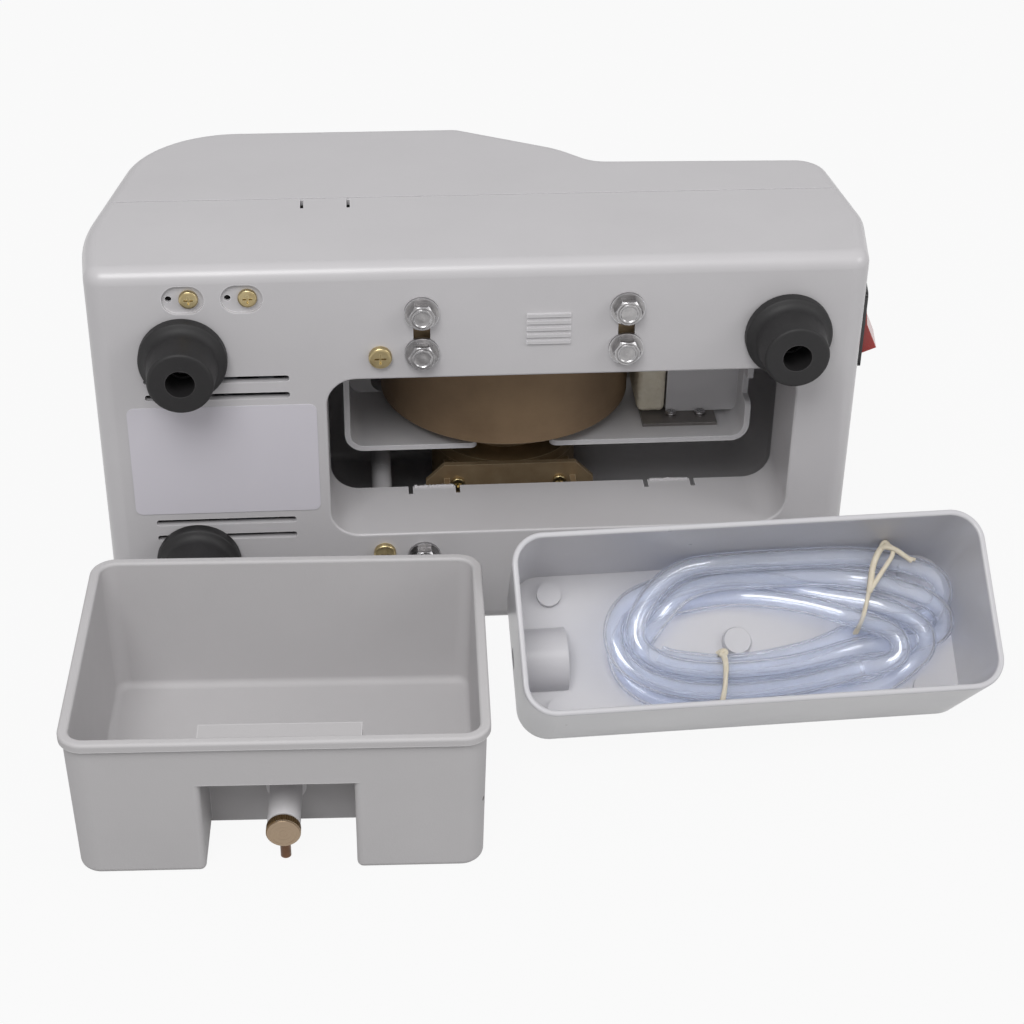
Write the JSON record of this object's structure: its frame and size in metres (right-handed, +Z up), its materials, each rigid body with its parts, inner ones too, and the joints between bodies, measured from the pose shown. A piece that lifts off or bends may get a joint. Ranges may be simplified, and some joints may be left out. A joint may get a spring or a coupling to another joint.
{
  "type": "optical_lens_edger",
  "caption": "Bench hand edger for spectacle lenses lying on its side, its grinding wheel inside the drawer bay, with a water tank and tap and a waste-water tray that holds clear tubing",
  "frame": {"origin": "centre of the bounding box of the machine, tank and tray, on the bench", "axes": "+X along the case towards the switch, +Y from the underside with the rubber feet to the machine's own top, +Z up from the long side that the case lies on"},
  "size_m": [0.3602, 0.2942, 0.173],
  "materials": {
    "case_plastic": "satin",
    "tank_plastic": "matte",
    "tray_plastic": "satin",
    "chamber_plastic": "matte",
    "label_white": "satin",
    "black_rubber": "matte",
    "zinc": "satin",
    "yellow_zinc": "satin",
    "brown_plate": "satin",
    "steel": "satin",
    "cast_alloy": "satin",
    "copper_wire": "satin",
    "wheel_grit": "satin",
    "dark_plate": "satin",
    "sponge_foam": "satin",
    "switch_black": "gloss",
    "switch_red": "gloss",
    "black_plastic": "matte",
    "can_aluminium": "satin",
    "ivory_plastic": "matte",
    "brass_plain": "satin",
    "clear_tube": "satin",
    "string": "satin",
    "fan_plastic": "matte"
  },
  "bodies": {
    "machine": {"base_shell": "case_plastic", "top_shell": "case_plastic", "rubber_feet": "black_rubber", "foot_screws": "zinc", "label_plate": "label_white", "case_screws": "yellow_zinc", "recessed_screws": "yellow_zinc", "frame_bolts": "zinc", "bolt_washers": "zinc", "frame_nuts": "zinc", "motor_bracket": "brown_plate", "bracket_screws": "yellow_zinc", "motor_housing": "cast_alloy", "motor_end_bells": "cast_alloy", "stator_core": "steel", "stator_windings": "copper_wire", "spindle_bearings": "steel", "outboard_bracket": "brown_plate", "splash_chamber": "chamber_plastic", "sponge_bracket": "dark_plate", "sponge_screws": "zinc", "sponge": "sponge_foam", "sponge_holder": "chamber_plastic", "switch_bezel": "switch_black", "power_inlet": "black_plastic", "run_capacitor": "can_aluminium", "capacitor_clamp": "zinc", "terminal_block": "ivory_plastic", "fixing_screws": "zinc"},
    "spindle": {"spindle_shaft": "steel", "motor_rotor": "steel", "cooling_fan": "fan_plastic", "wheel_hub": "cast_alloy", "grinding_wheel": "wheel_grit", "clamp_washer": "steel", "wheel_nut": "zinc"},
    "switch": {"switch_rocker": "switch_red"},
    "tank": {"water_tank": "tank_plastic", "tap_body": "ivory_plastic", "tap_nozzle": "steel", "tap_seal": "black_rubber", "tap_lock_nut": "ivory_plastic"},
    "tap_stem": {"tap_needle": "steel"},
    "tap_wheel": {"tap_knob": "brass_plain"},
    "tray": {"waste_tray": "tray_plastic", "tubing_coil": "clear_tube", "coil_ties": "string"}
  },
  "joints": [
    {"name": "wheel_spin", "type": "hinge", "parent": "machine", "child": "spindle", "pos_m": [-0.00371, 0.09092, 0.093], "axis": [0, 0, 1], "continuous": true},
    {"name": "switch_rock", "type": "hinge", "parent": "machine", "child": "switch", "pos_m": [0.14003, 0.03375, 0.1318], "axis": [0.1407, 0.9901, 0], "range_deg": [0, 22]},
    {"name": "tank_lift", "type": "slide", "parent": "machine", "child": "tank", "axis": [0, 0, 1], "range_m": [0, 0.15]},
    {"name": "tap_travel", "type": "slide", "parent": "tank", "child": "tap_stem", "axis": [-0.03, -0.9995, 0], "range_m": [0, 0.0008]},
    {"name": "tap_turn", "type": "hinge", "parent": "tap_stem", "child": "tap_wheel", "pos_m": [-0.1013, -0.13802, 0.018], "axis": [-0.03, -0.9995, 0], "range_deg": [0, 360]},
    {"name": "tray_lift", "type": "slide", "parent": "machine", "child": "tray", "axis": [0, -0.2873, 0.9578], "range_m": [0, 0.15]}
  ],
  "couplings": [
    {"joint": "tap_turn", "follows": "tap_travel", "rad_per_m": 7853.9}
  ]
}
